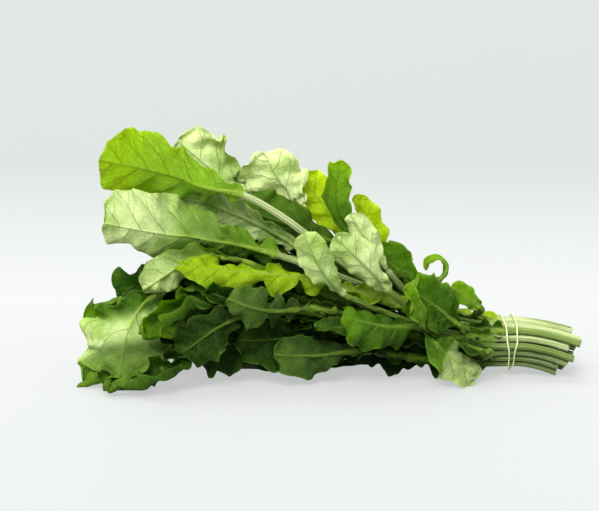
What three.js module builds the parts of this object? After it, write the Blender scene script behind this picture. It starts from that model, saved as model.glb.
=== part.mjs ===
// A bunch of arugula lying on its side: long lobed leaves on round stems, held near their cut ends by a thin
// elastic band that goes round twice. Millimetres, +Z up. +X runs along the bunch to the cut stem ends, and -Y is
// the side it is seen from. Each leaf grew as one piece, so its stem, midrib and blade are one solid.
import * as THREE from "three";

// The stems and the band
const stemRadius = 2.15;
const stemPitch = 4.75; // centre to centre of stems packed under the band
const stemRows = [6, 7, 8, 9, 8, 7]; // stems in each row of the tied bundle, from the bottom
const bandX = 110;
const bundleHeight = 18.4; // of the bundle's centre over the surface, under the band
const cutEndX = 143; // of the lowest stem
const cutEndLean = 0.55; // how much further a higher stem reaches, for each mm of height
const cutEndSpread = 1.12; // the stems open out towards their cut ends
const cutEndDroop = 6; // how much lower the bundle's middle is at the cut ends
const bandWire = 0.6; // radius of the elastic
const bandTurnGap = 7; // between the two turns, where they are furthest apart
const bandClearance = 0.35;

// The blades
const bladeThickness = 0.75;
const tipHalfWidth = 1.3;
const ribRadiusAtTip = 0.6;
const stemReach = 2.35; // how near the middle of a stem another leaf may come
const bladeReach = 1.7; // the same for a blade
const restHeight = 0.55; // of a blade's middle over the surface it lies on
const pressedFlat = 0.6; // an underside lower than this is pressed flat on the surface
const loosePitch = 60; // between leaves before they are gathered
const gatherLength = 70; // of stem, past the band, over which it leaves its neighbours

// Half of a blade's outline, from where it leaves the stem (0) to the tip (1), as shares of its widest half.
const outlines = {
  broad: [[0, 0.07], [0.08, 0.27], [0.16, 0.15], [0.25, 0.52], [0.33, 0.42], [0.43, 0.84], [0.52, 0.78], [0.62, 1],
    [0.71, 0.92], [0.8, 0.97], [0.88, 0.8], [0.95, 0.54], [1, 0]],
  lobed: [[0, 0.07], [0.07, 0.14], [0.12, 0.46], [0.19, 0.5], [0.24, 0.13], [0.3, 0.66], [0.39, 0.74], [0.45, 0.22],
    [0.53, 0.84], [0.64, 1], [0.75, 0.84], [0.86, 0.82], [0.94, 0.5], [1, 0]],
  small: [[0, 0.15], [0.14, 0.46], [0.28, 0.48], [0.42, 0.86], [0.56, 1], [0.7, 0.88], [0.83, 0.8], [0.93, 0.5], [1, 0]],
};

// Each leaf from the front of the bunch to the back: its outline and widest half, where the blade starts, points on
// the way and its tip, which way its upper face looks, and how far its sides cup towards that face, in degrees. One
// lies pressed flat under the others, with no waves.
const leaves = [
  { outline: "small", half: 14, path: [[65, -31, 25], [60, -37, 30], [87, -31, 3]], face: [0.2, -0.8, 0.6], cup: -25 },
  { outline: "small", half: 6, path: [[95, -29, 19], [87, -33, 23], [76, -34, 28]], face: [0, -0.8, 0.5], cup: 10 },
  { outline: "small", half: 7, path: [[61, -29, 30], [52, -37, 43], [44, -41, 65]], face: [0.6, -0.8, 0.1], cup: 25 },
  { outline: "broad", half: 18, path: [[78, -26, 35], [62, -31, 48], [46, -34, 60]], face: [0.1, -0.9, 0.4], cup: 15 },
  { outline: "broad", half: 18, path: [[57, -30, 35], [33, -40, 39], [7, -44, 46]], face: [0, -0.8, 0.6], cup: -35 },
  { outline: "small", half: 13, path: [[36, -28, 57], [20, -38, 75], [2, -42, 93]], face: [0, 1, 0.2], cup: 10 },
  { outline: "broad", half: 12, path: [[13, -29, 50], [-3, -36, 68], [-16, -39, 94]], face: [0.2, 1, 0.1], cup: 15 },
  { outline: "small", half: 7, path: [[34, -30, 34], [12, -35, 36], [-10, -37, 38]], face: [0, -0.7, 0.7], cup: 20 },
  { outline: "broad", half: 15, path: [[18, -27, 20], [-6, -30, 19], [-34, -30, 20]], face: [0, 0.9, -0.3], cup: 10 },
  { outline: "lobed", half: 15, path: [[-15, -29, 45], [-40, -33, 49], [-63, -35, 57]], face: [0, 1, 0.1], cup: 10 },
  { outline: "broad", half: 17, path: [[-38, -28, 45], [-66, -33, 41], [-90, -36, 21]], face: [0.1, 1, 0.1], cup: -12 },
  { outline: "lobed", half: 20, path: [[9, -22, 20], [-20, -26, 25], [-56, -30, 28]], face: [0, 0.9, 0.1], cup: -12 },
  { outline: "lobed", half: 21, path: [[-18, -21, 24], [-49, -27, 27], [-84, -30, 20]], face: [0.1, 0.9, 0.2], cup: -12 },
  { outline: "broad", half: 17, path: [[-77, -38, 32], [-89, -50, 14], [-134, -50, 2]], face: [-0.1, -0.5, 0.9], cup: 32 },
  { outline: "small", half: 17, path: [[-59, -34, 45], [-84, -42, 45], [-112, -48, 35]], face: [-0.1, -0.8, 0.5], cup: 40 },
  { outline: "small", half: 12, path: [[-41, -25, 50], [-57, -31, 55], [-76, -33, 57]], face: [0, -0.9, 0.2], cup: 40 },
  { outline: "lobed", half: 16, path: [[3, -20, 58], [-41, -26, 69], [-89, -29, 74]], face: [0, -0.6, 0.8], cup: -25 },
  { outline: "broad", half: 12, path: [[-52, -22, 71], [-79, -26, 74], [-112, -28, 57]], face: [0.2, 0.9, 0.3], cup: 10 },
  { outline: "broad", half: 18, path: [[-38, -20, 46], [-66, -27, 48], [-92, -29, 50]], face: [0, -0.7, 0.6], cup: 20 },
  { outline: "broad", half: 28, path: [[-99, -30, 59], [-118, -43, 40], [-126, -50, 6]], face: [0.2, 0.95, -0.1], cup: 18 },
  { outline: "broad", half: 20, path: [[-70, -18, 21], [-110, -28, 17], [-151, -30, 11]], face: [0, -0.6, 0.8], cup: -15 },
  { outline: "broad", half: 18, path: [[-73, -10, 47], [-110, -16, 43], [-149, -18, 35]], face: [0, -0.7, 0.6], cup: 15 },
  { outline: "broad", half: 26, path: [[-28, -14, 75], [-89, -17, 87], [-135, -17, 96]], face: [-0.1, 1, 0.2], cup: 22 },
  { outline: "broad", half: 13, path: [[-58, -8, 57], [-85, -11, 62], [-116, -12, 62]], face: [0, -0.6, 0.7], cup: 20 },
  { outline: "broad", half: 25, path: [[-49, -8, 110], [-93, -8, 123], [-138, -8, 133]], face: [-0.1, 1, 0.1], cup: 20 },
  { outline: "small", half: 10, path: [[35, -13, 66], [23, -18, 84], [12, -20, 102]], face: [0.1, 1, 0.1], cup: 15 },
  { outline: "small", half: 14, path: [[57, -8, 52], [41, -9, 68], [26, -8, 79]], face: [0.3, -0.8, 0.5], cup: 20 },
  { outline: "small", half: 14, path: [[-60, 0, 48], [-93, -5, 50], [-127, -6, 47]], face: [0, -0.7, 0.6], cup: -25 },
  { outline: "broad", half: 20, path: [[-18, -2, 78], [-55, -4, 97], [-90, -4, 107]], face: [0, 0.9, 0.4], cup: -15 },
  { outline: "small", half: 8, path: [[92, -6, 39], [84, -9, 47], [74, -10, 57]], face: [0.3, -0.8, 0.5], cup: 20 },
  { outline: "small", half: 5, path: [[66, 2, 54], [71, 2, 62], [68, 2, 70], [60, 2, 69], [59, 2, 63]], face: [0.3, -0.5, 0.8], cup: 0 },
  { outline: "small", half: 12, path: [[15, 0, 84], [4, -2, 105], [6, -2, 132]], face: [0.2, -1, 0.1], cup: 15 },
  { outline: "broad", half: 20, path: [[13, 4, 74], [-18, 4, 89], [-55, 4, 101]], face: [0, 1, -0.3], cup: 10 },
  { outline: "broad", half: 23, path: [[-16, 8, 92], [-29, 8, 112], [-40, 8, 134]], face: [0, 1, 0], cup: 15 },
  { outline: "broad", half: 22, path: [[-41, 12, 97], [-68, 12, 120], [-92, 12, 141]], face: [0, 1, 0.1], cup: 10 },
  { outline: "small", half: 11, path: [[38, 12, 62], [25, 12, 86], [16, 12, 108]], face: [0.5, -0.8, 0.2], cup: 25 },
  { outline: "broad", half: 15, path: [[18, 16, 74], [-1, 16, 98], [-20, 16, 120]], face: [0, -0.9, 0.3], cup: 10 },
  { outline: "broad", half: 20, path: [[45, 8, 5], [-1, 10, 1], [-57, 13, 1]], face: [0, 0, 1], cup: 0, wave: 0 },
  { outline: "broad", half: 24, path: [[-37, 20, 78], [-84, 23, 92], [-127, 20, 98]], face: [0, 0.4, 0.9], cup: -15 },
  { outline: "broad", half: 22, path: [[0, 22, 69], [-39, 28, 83], [-76, 28, 95]], face: [0.1, 0.6, 0.8], cup: -15 },
  { outline: "broad", half: 25, path: [[-23, 21, 57], [-79, 25, 57], [-133, 20, 47]], face: [0.2, 0.8, 0.5], cup: -15 },
  { outline: "broad", half: 24, path: [[22, 24, 44], [-26, 32, 54], [-70, 35, 59]], face: [0, 0.7, 0.7], cup: -20 },
  { outline: "broad", half: 21, path: [[55, 25, 35], [22, 33, 43], [-15, 38, 49]], face: [0.1, 0.9, 0.3], cup: -12 },
  { outline: "broad", half: 22, path: [[-12, 29, 20], [-57, 36, 20], [-106, 33, 7]], face: [-0.1, 0.8, 0.5], cup: -20 },
  { outline: "lobed", half: 22, path: [[43, 28, 19], [6, 41, 24], [-30, 47, 15]], face: [0, 0.9, 0.3], cup: -20 },
];

const columns = [-1, -0.5, 0, 0.5, 1]; // places across a blade, from one edge over the midrib to the other
const roundColumns = [-0.95, -0.59, 0, 0.59, 0.95]; // the same five on a round stem, in radii
const acrossCount = columns.length;
const pinnedX = [117, 103]; // the stretch under the band, where the stems lie straight

// The same draw every time, from 0 to 1.
function seededRandom(seed) {
  let state = seed;
  return () => {
    state = (state + 0x6d2b79f5) | 0;
    let t = Math.imul(state ^ (state >>> 15), 1 | state);
    t = (t + Math.imul(t ^ (t >>> 7), 61 | t)) ^ t;
    return ((t ^ (t >>> 14)) >>> 0) / 4294967296;
  };
}

// The places of the stems across the tied bundle, as [y, z] about its centre, in columns from front to back.
function packStems() {
  const rowHeight = (stemPitch * Math.sqrt(3)) / 2;
  const places = stemRows.flatMap((count, row) =>
    Array.from({ length: count }, (_, i) => [
      (i - (count - 1) / 2) * stemPitch,
      (row - (stemRows.length - 1) / 2) * rowHeight,
    ]),
  );
  return places.sort((a, b) => a[0] - b[0] || a[1] - b[1]);
}

// How steeply a leaf rises from the band.
const climb = (leaf) => (leaf.path[0][2] - bundleHeight) / (pinnedX[1] - leaf.path[0][0]);

// Gives each leaf a stem place: leaves nearer the front take the columns nearer the front, and in a column the leaf
// that climbs most steeply takes the highest place.
function placeStems() {
  const places = packStems();
  const given = new Array(leaves.length);
  let first = 0;
  while (first < places.length) {
    let last = first;
    while (last < places.length && Math.abs(places[last][0] - places[first][0]) < 1e-6) last++;
    const inColumn = leaves.map((_, i) => i).slice(first, last);
    inColumn.sort((a, b) => climb(leaves[a]) - climb(leaves[b]));
    inColumn.forEach((leaf, i) => (given[leaf] = places[first + i]));
    first = last;
  }
  return given;
}

// Points on a curve between two of its control points, at shares of the length between them.
function pointsAlong(curve, fromControl, toControl, controls, shares) {
  const steps = 80;
  const at = (k) => curve.getPoint((fromControl + ((toControl - fromControl) * k) / steps) / (controls - 1));
  const samples = Array.from({ length: steps + 1 }, (_, k) => at(k));
  const lengths = [0];
  samples.slice(1).forEach((p, k) => lengths.push(lengths[k] + p.distanceTo(samples[k])));
  return shares.map((share) => {
    const wanted = share * lengths[steps];
    let k = 0;
    while (k < steps - 1 && lengths[k + 1] < wanted) k++;
    const part = (wanted - lengths[k]) / (lengths[k + 1] - lengths[k]);
    return samples[k].clone().lerp(samples[k + 1], part);
  });
}

// The middle surface of one leaf before it meets its neighbours: rows of five points from the cut end to the tip.
function layOut(leaf, place, random) {
  const [y, z] = place;
  const under = (x) => {
    const past = Math.max(0, (x - pinnedX[0]) / (cutEndX - pinnedX[0]));
    const spread = 1 + (cutEndSpread - 1) * past ** 1.5;
    return new THREE.Vector3(x, y * spread, bundleHeight - cutEndDroop * past ** 1.5 + z * spread);
  };
  const cutX = cutEndX + cutEndLean * z + 8 * (random() - 0.5);
  const leaving = new THREE.Vector3(pinnedX[1] - 14, y * 1.04, bundleHeight + z * 1.04);
  const path = leaf.path.map((p) => new THREE.Vector3(...p));
  const controls = [under(pinnedX[1]), leaving, ...path];
  const curve = new THREE.CatmullRomCurve3(controls, false, "centripetal");
  const baseControl = 2;
  const stemLength = controls[1].distanceTo(path[0]);
  const stemSteps = Math.min(5, Math.max(1, Math.round(stemLength / 30)));
  const stemShares = Array.from({ length: stemSteps }, (_, k) => (k + 0.5) / stemSteps);
  const outline = outlines[leaf.outline];
  const centres = [
    under(cutX),
    under((pinnedX[0] + cutX) / 2),
    under(pinnedX[0]),
    controls[0],
    ...pointsAlong(curve, 0, baseControl, controls.length, stemShares),
    ...pointsAlong(curve, baseControl, controls.length - 1, controls.length, outline.map(([b]) => b)),
  ];
  const stemRowsCount = centres.length - outline.length;
  const face = new THREE.Vector3(...leaf.face).normalize();
  const wave = [random() * 6.28, random() * 6.28, 2.2 + random(), 2.2 + random()];
  const waveHeight = (leaf.wave ?? 1) * leaf.half * (0.14 + 0.1 * random());
  const sweep = [0.02 + 0.2 * random(), 0.02 + 0.2 * random()]; // how far each side reaches towards the tip
  const sideShare = [0.9 + 0.12 * random(), 0.9 + 0.12 * random()];
  const points = [];
  const halves = [];
  const ribs = [];
  centres.forEach((centre, row) => {
    const before = centres[Math.max(0, row - 1)];
    const after = centres[Math.min(centres.length - 1, row + 1)];
    const along = after.clone().sub(before).normalize();
    const across = face.clone().cross(along).normalize();
    const up = along.clone().cross(across);
    const onBlade = row >= stemRowsCount;
    const [b, share] = onBlade ? outline[row - stemRowsCount] : [0, 0];
    const rib = onBlade ? ribRadiusAtTip + (stemRadius - ribRadiusAtTip) * (1 - b) ** 1.3 : stemRadius;
    ribs.push(rib);
    columns.forEach((u, column) => {
      const side = u < 0 ? 0 : 1;
      const uneven = onBlade ? sideShare[side] + 0.08 * Math.sin(31 * b + wave[side]) : 1;
      const half = Math.max(tipHalfWidth, share * leaf.half * uneven);
      const wide = Math.max(Math.abs(u) * half, Math.abs(roundColumns[column]) * rib);
      const isBlade = onBlade && wide > rib * 1.05;
      const turn = isBlade ? THREE.MathUtils.degToRad(leaf.cup) * (Math.abs(u) > 0.7 ? 1.1 : 0.6) : 0;
      const ripple = isBlade
        ? waveHeight * u * u * Math.sin(wave[side] + 6.28 * b * wave[side + 2]) * Math.min(1, share * 1.6)
        : 0;
      const sideways = Math.sign(u) * wide * Math.cos(turn);
      const raised = wide * Math.sin(turn) + ripple;
      const forward = isBlade ? sweep[side] * wide : 0;
      points.push(
        centre.clone().addScaledVector(across, sideways).addScaledVector(up, raised).addScaledVector(along, forward),
      );
      halves.push(wide);
    });
  });
  return { rows: centres.length, stemRowsCount, points, halves, ribs };
}

// Gathers the leaves into the bunch. They start spread out from front to back, in order, and are drawn together
// while each one is bent clear of its neighbours and of the surface. A leaf keeps its own shape and gives way only
// smoothly, and the stretch under the band stays where it is.
function gather(sheets) {
  const pinnedRows = 2 + pinnedX.length;
  const start = [];
  let total = 0;
  sheets.forEach((sheet) => {
    start.push(total);
    total += sheet.points.length;
  });
  const home = new Float64Array(total * 3);
  const spread = new Float64Array(total);
  const moved = new Float64Array(total * 3);
  const now = new Float64Array(total * 3);
  sheets.forEach((sheet, k) => {
    const order = k - (sheets.length - 1) / 2;
    let length = 0;
    for (let row = 0; row < sheet.rows; row++) {
      const middle = row * acrossCount + 2;
      if (row >= pinnedRows) length += sheet.points[middle].distanceTo(sheet.points[middle - acrossCount]);
      const share = THREE.MathUtils.smoothstep(length, 0, gatherLength);
      for (let column = 0; column < acrossCount; column++) {
        const at = start[k] + row * acrossCount + column;
        sheet.points[row * acrossCount + column].toArray(home, at * 3);
        spread[at] = order * loosePitch * share;
      }
    }
  });

  // Touch points: spots on each sheet, each a mix of the four grid points round it.
  const touchCorners = [];
  const touchShares = [];
  const touchLeaf = [];
  const touchFloor = [];
  const touchReach = [];
  sheets.forEach((sheet, k) => {
    const add = (row, column, a, b, floor, reach) => {
      const at = start[k] + row * acrossCount + column;
      touchCorners.push(at, at + 1, at + acrossCount, at + acrossCount + 1);
      touchShares.push((1 - a) * (1 - b), (1 - a) * b, a * (1 - b), a * b);
      touchLeaf.push(k);
      touchFloor.push(floor);
      touchReach.push(reach);
    };
    for (let row = 0; row < sheet.rows - 1; row++) {
      const here = sheet.points.slice(row * acrossCount, (row + 1) * acrossCount);
      const next = sheet.points.slice((row + 1) * acrossCount, (row + 2) * acrossCount);
      const onBlade = row >= sheet.stemRowsCount;
      const spacing = 1.6 * (onBlade ? bladeReach : stemReach);
      const stepsAlong = Math.ceil(here[2].distanceTo(next[2]) / spacing);
      for (let i = 0; i < stepsAlong; i++) {
        const a = i / stepsAlong;
        const rib = sheet.ribs[row] * (1 - a) + sheet.ribs[row + 1] * a;
        add(row, 2, a, 0, rib * 1.05, Math.max(bladeReach, rib + stemReach - stemRadius));
        if (!onBlade) continue;
        for (let column = 0; column < acrossCount - 1; column++) {
          const wide = here[column].clone().lerp(next[column], a)
            .distanceTo(here[column + 1].clone().lerp(next[column + 1], a));
          const stepsAcross = Math.ceil(wide / spacing);
          for (let j = column === 2 ? 1 : 0; j <= (column === 3 ? stepsAcross : stepsAcross - 1); j++)
            if (wide > 1) add(row, column, a, j / stepsAcross, restHeight, bladeReach);
        }
      }
    }
  });
  const touches = touchLeaf.length;
  const spots = new Float64Array(touches * 3);
  const push = new Float64Array(total * 3);
  const weight = new Float64Array(total);
  const tableSize = 1 << 16;
  const heads = new Int32Array(tableSize);
  const nextInCell = new Int32Array(touches);
  const cellOf = (x, y, z) =>
    (Math.imul(x, 73856093) ^ Math.imul(y, 19349663) ^ Math.imul(z, 83492791)) & (tableSize - 1);
  const cell = (v) => Math.floor(v / (2 * stemReach));

  const place = (looseness) => {
    for (let at = 0; at < total; at++) {
      now[at * 3] = home[at * 3] + moved[at * 3];
      now[at * 3 + 1] = home[at * 3 + 1] + moved[at * 3 + 1] + spread[at] * looseness;
      now[at * 3 + 2] = home[at * 3 + 2] + moved[at * 3 + 2];
    }
    for (let t = 0; t < touches; t++)
      for (let axis = 0; axis < 3; axis++) {
        let sum = 0;
        for (let c = 0; c < 4; c++) sum += touchShares[t * 4 + c] * now[touchCorners[t * 4 + c] * 3 + axis];
        spots[t * 3 + axis] = sum;
      }
  };

  const shove = (t, x, y, z) => {
    let squares = 0;
    for (let c = 0; c < 4; c++) squares += touchShares[t * 4 + c] ** 2;
    for (let c = 0; c < 4; c++) {
      const share = touchShares[t * 4 + c];
      const at = touchCorners[t * 4 + c];
      push[at * 3] += (share * share * x) / squares;
      push[at * 3 + 1] += (share * share * y) / squares;
      push[at * 3 + 2] += (share * share * z) / squares;
      weight[at] += share * share;
    }
  };

  const separate = (give) => {
    heads.fill(-1);
    push.fill(0);
    weight.fill(0);
    for (let t = 0; t < touches; t++) {
      const x = spots[t * 3];
      const y = spots[t * 3 + 1];
      const z = spots[t * 3 + 2];
      const below = touchFloor[t] - z;
      if (below > 0) shove(t, 0, 0, below);
      for (let i = -1; i <= 1; i++)
        for (let j = -1; j <= 1; j++)
          for (let k = -1; k <= 1; k++) {
            let other = heads[cellOf(cell(x) + i, cell(y) + j, cell(z) + k)];
            for (; other >= 0; other = nextInCell[other]) {
              if (touchLeaf[other] === touchLeaf[t]) continue;
              const dx = x - spots[other * 3];
              const dy = y - spots[other * 3 + 1];
              const dz = z - spots[other * 3 + 2];
              const apart = dx * dx + dy * dy + dz * dz;
              const reach = touchReach[t] + touchReach[other];
              if (apart >= reach * reach || apart < 1e-12) continue;
              const distance = Math.sqrt(apart);
              const half = (reach - distance) / 2 / distance;
              shove(t, dx * half, dy * half, dz * half);
              shove(other, -dx * half, -dy * half, -dz * half);
            }
          }
      const own = cellOf(cell(x), cell(y), cell(z));
      nextInCell[t] = heads[own];
      heads[own] = t;
    }
    for (let at = 0; at < total; at++)
      if (weight[at] > 0)
        for (let axis = 0; axis < 3; axis++) moved[at * 3 + axis] += (give * push[at * 3 + axis]) / weight[at];
  };

  const relax = (smoothing, homing) => {
    const keep = [1 - homing, 1 - homing / 4, 1 - homing]; // leaves give way more towards the front and the back
    sheets.forEach((sheet, k) => {
      for (let row = 0; row < sheet.rows; row++)
        for (let axis = 0; axis < 3; axis++) {
          const index = (r, c) => (start[k] + r * acrossCount + c) * 3 + axis;
          if (row < pinnedRows) {
            for (let column = 0; column < acrossCount; column++) moved[index(row, column)] = 0;
            continue;
          }
          if (row < sheet.stemRowsCount)
            for (let column = 0; column < acrossCount; column++) moved[index(row, column)] = moved[index(row, 2)];
          for (let column = 0; column < acrossCount; column++) {
            let sum = moved[index(row - 1, column)];
            let count = 1;
            if (row < sheet.rows - 1) {
              sum += moved[index(row + 1, column)];
              count++;
            }
            if (column > 0) {
              sum += moved[index(row, column - 1)];
              count++;
            }
            if (column < acrossCount - 1) {
              sum += moved[index(row, column + 1)];
              count++;
            }
            const own = moved[index(row, column)];
            moved[index(row, column)] = (own + smoothing * (sum / count - own)) * keep[axis];
          }
        }
    });
  };

  const gatherSteps = 700;
  const settleSteps = 700;
  for (let step = 0; step < gatherSteps; step++) {
    place(0.988 ** step);
    separate(0.9);
    relax(0.25, 0.02);
  }
  for (let step = 0; step < settleSteps; step++) {
    place(0);
    separate(0.9);
    relax(0.12 * Math.max(0, 1 - (1.2 * step) / settleSteps), step < settleSteps / 3 ? 0.008 : 0);
  }
  place(0);
  sheets.forEach((sheet, k) =>
    sheet.points.forEach((point, i) => point.fromArray(now, (start[k] + i) * 3)),
  );
}

// One leaf's solid: rings of ten points, five on the upper face and five on the underside, with the rounded midrib
// standing out more on the underside. Both faces are split into triangles alike.
function leafGeometry(sheet) {
  const { rows, points, halves, ribs, stemRowsCount } = sheet;
  const ringSize = acrossCount * 2;
  const positions = [];
  const ringIndex = (row, column, under) =>
    row * ringSize + (under ? ringSize - 1 - column : column);
  const grid = (row, column) =>
    points[Math.min(rows - 1, Math.max(0, row)) * acrossCount + Math.min(acrossCount - 1, Math.max(0, column))];
  for (let row = 0; row < rows; row++) {
    const ring = new Array(ringSize);
    for (let column = 0; column < acrossCount; column++) {
      const point = grid(row, column);
      const along = grid(row + 1, column).clone().sub(grid(row - 1, column));
      const across = grid(row, row < stemRowsCount ? 4 : column + 1).clone()
        .sub(grid(row, row < stemRowsCount ? 0 : column - 1));
      const up = along.cross(across).normalize();
      const rib = ribs[row];
      const wide = Math.min(1, halves[row * acrossCount + column] / rib);
      const round = rib * Math.sqrt(1 - wide * wide);
      const onBlade = row >= stemRowsCount;
      const above = Math.max(bladeThickness / 2, round * (onBlade ? 0.6 : 1));
      const below = Math.max(bladeThickness / 2, round * (onBlade ? 1.15 : 1));
      ring[column] = point.clone().addScaledVector(up, above);
      ring[ringSize - 1 - column] = point.clone().addScaledVector(up, -below);
    }
    for (const p of ring) if (p.z < pressedFlat) p.z = 0;
    ring.forEach((p) => positions.push(p.x, p.y, p.z));
  }
  const faces = [];
  const quad = (a, b, c, d) => faces.push(a, b, c, a, c, d);
  for (let row = 0; row < rows - 1; row++) {
    for (let column = 0; column < acrossCount - 1; column++) {
      quad(
        ringIndex(row, column, false), ringIndex(row + 1, column, false),
        ringIndex(row + 1, column + 1, false), ringIndex(row, column + 1, false),
      );
      faces.push(ringIndex(row, column, true), ringIndex(row + 1, column + 1, true), ringIndex(row + 1, column, true));
      faces.push(ringIndex(row, column, true), ringIndex(row, column + 1, true), ringIndex(row + 1, column + 1, true));
    }
    const last = acrossCount - 1;
    quad(ringIndex(row, last, false), ringIndex(row + 1, last, false), ringIndex(row + 1, last, true),
      ringIndex(row, last, true));
    quad(ringIndex(row, 0, true), ringIndex(row + 1, 0, true), ringIndex(row + 1, 0, false), ringIndex(row, 0, false));
  }
  for (const row of [0, rows - 1]) {
    const centre = positions.length / 3;
    const middle = [0, 0, 0];
    for (let k = 0; k < ringSize; k++)
      for (let axis = 0; axis < 3; axis++) middle[axis] += positions[(row * ringSize + k) * 3 + axis] / ringSize;
    positions.push(...middle);
    for (let k = 0; k < ringSize; k++) {
      const a = row * ringSize + k;
      const b = row * ringSize + ((k + 1) % ringSize);
      if (row === 0) faces.push(centre, a, b);
      else faces.push(centre, b, a);
    }
  }
  const geometry = new THREE.BufferGeometry();
  geometry.setAttribute("position", new THREE.Float32BufferAttribute(positions, 3));
  geometry.setIndex(faces);
  geometry.computeVertexNormals();
  return geometry;
}

// The elastic band: twice round the stems, pulled straight between those it bears on. The turns stand apart above
// and cross underneath, one over the other.
function bandGeometry() {
  const places = packStems();
  const stepsInTurn = 30;
  const reach = stemRadius + bandClearance + bandWire;
  const path = Array.from({ length: 2 * stepsInTurn }, (_, i) => {
    const angle = (2 * Math.PI * i) / stepsInTurn; // from the top, towards the back
    const out = [Math.sin(angle), Math.cos(angle)];
    let [y, z] = places[0];
    for (const [py, pz] of places)
      if (py * out[0] + pz * out[1] > y * out[0] + z * out[1] + 1e-9) [y, z] = [py, pz];
    const lift = (1 + Math.sin(angle / 2)) * (bandWire + bandClearance / 2);
    return new THREE.Vector3(
      bandX + (bandTurnGap / 2) * Math.cos(angle / 2),
      y + out[0] * (reach + lift),
      bundleHeight + z + out[1] * (reach + lift),
    );
  });
  return new THREE.TubeGeometry(new THREE.CatmullRomCurve3(path, true, "centripetal"), 56, bandWire, 5, true);
}

const leafColour = { small: 0x4f9a1c, broad: 0x5fa624, lobed: 0x3f8a1d };

const bunch = new THREE.Group();
const random = seededRandom(20240611);
const stemPlaces = placeStems();
const sheets = leaves.map((leaf, i) => layOut(leaf, stemPlaces[i], random));
gather(sheets);
sheets.forEach((sheet, i) => {
  const material = new THREE.MeshStandardMaterial({
    color: leafColour[leaves[i].outline], roughness: 0.55, metalness: 0, side: THREE.DoubleSide,
  });
  const mesh = new THREE.Mesh(leafGeometry(sheet), material);
  mesh.name = `leaf_${String(i + 1).padStart(2, "0")}`;
  bunch.add(mesh);
});
const elastic = new THREE.MeshStandardMaterial({ color: 0xe4e6b4, roughness: 0.6, metalness: 0 });
const band = new THREE.Mesh(bandGeometry(), elastic);
band.name = "elastic_band";
bunch.add(band);

// The origin is the middle of the bunch's footprint, on the surface that it lies on.
const box = new THREE.Box3().setFromObject(bunch);
const middle = box.getCenter(new THREE.Vector3());
bunch.children.forEach((mesh) => mesh.position.set(-middle.x, -middle.y, -box.min.z));

export default bunch;
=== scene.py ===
# A bunch of arugula lying on its side on a pale studio floor: lobed leaves on long round stems, tied near
# their cut ends with a thin elastic band.
import math
from types import SimpleNamespace
import bmesh
import bpy
import numpy as np
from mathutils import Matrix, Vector
from numpy.linalg import norm


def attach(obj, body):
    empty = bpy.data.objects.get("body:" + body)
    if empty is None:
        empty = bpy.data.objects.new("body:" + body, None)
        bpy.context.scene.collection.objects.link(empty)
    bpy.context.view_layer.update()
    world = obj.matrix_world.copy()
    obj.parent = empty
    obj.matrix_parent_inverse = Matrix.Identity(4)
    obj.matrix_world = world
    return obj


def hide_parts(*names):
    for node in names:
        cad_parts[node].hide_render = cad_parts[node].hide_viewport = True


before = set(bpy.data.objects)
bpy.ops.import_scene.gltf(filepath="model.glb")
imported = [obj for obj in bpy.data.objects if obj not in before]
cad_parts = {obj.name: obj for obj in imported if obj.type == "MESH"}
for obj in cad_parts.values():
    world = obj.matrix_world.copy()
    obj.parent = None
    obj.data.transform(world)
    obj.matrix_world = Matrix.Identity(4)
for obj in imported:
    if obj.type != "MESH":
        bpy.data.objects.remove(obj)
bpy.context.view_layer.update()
scene = bpy.context.scene
mm = 0.001
wholeTurn = 6.28  # in radians, near enough for the phases of waves


# Small helpers for modelling

# Starts to edit a piece, with its doubled vertices merged
def editMerged(piece, within):
    bpy.ops.object.select_all(action="DESELECT")
    piece.select_set(True)
    bpy.context.view_layer.objects.active = piece
    bpy.ops.object.mode_set(mode="EDIT")
    bpy.ops.mesh.select_mode(type="VERT")
    bpy.ops.mesh.select_all(action="SELECT")
    bpy.ops.mesh.remove_doubles(threshold=within)


def ease(low, high, values):
    share = np.clip((values - low) / (high - low), 0, 1)
    return share * share * (3 - 2 * share)


def unit(vectors):
    return vectors / np.maximum(norm(vectors, axis=-1, keepdims=True), 1e-12)


# A smooth way from a to b with the given slopes, at its share t
def cubicBetween(a, b, slopeA, slopeB, t):
    return ((2 * t**3 - 3 * t**2 + 1) * a + (t**3 - 2 * t**2 + t) * slopeA
            + (3 * t**2 - 2 * t**3) * b + (t**3 - t**2) * slopeB)


# A smooth curve through rows of values at uneven places, at the wanted ones
def curveThrough(values, places, wanted):
    steps = np.diff(places).reshape((-1,) + (1,) * (values.ndim - 1))
    rises = np.diff(values, axis=0) / steps
    between = (steps[1:] * rises[:-1] + steps[:-1] * rises[1:]) / (steps[:-1] + steps[1:])
    slopes = np.concatenate([rises[:1], between, rises[-1:]])
    at = np.clip(np.searchsorted(places, wanted, side="right") - 1, 0, len(places) - 2)
    step = steps[at]
    t = np.clip((wanted - places[at]).reshape(step.shape) / step, 0, 1)
    return cubicBetween(values[at], values[at + 1], step * slopes[at], step * slopes[at + 1], t)


# The same across a blade, whose five columns stand evenly from -1 to 1. Past the margins it goes straight on.
def acrossBlade(columns, wanted, halves):
    slopes = np.gradient(columns, axis=1)
    inside = np.clip(wanted, -1, 1)
    at = np.clip(np.floor((inside + 1) * 2).astype(int), 0, 3)
    t = ((inside + 1) * 2 - at)[..., None]
    row = np.arange(len(columns))[:, None]
    points = cubicBetween(columns[row, at], columns[row, at + 1], slopes[row, at], slopes[row, at + 1], t)
    beyond = ((wanted - inside) * halves)[..., None]
    return points + beyond * np.where(beyond < 0, unit(slopes[:, None, 0]), unit(slopes[:, None, 4]))


# The normals of a grid of points, rows along the leaf and columns across it
def gridNormals(points):
    return unit(np.cross(np.gradient(points, axis=0), np.gradient(points, axis=1)))


# Helpers for materials

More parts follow.
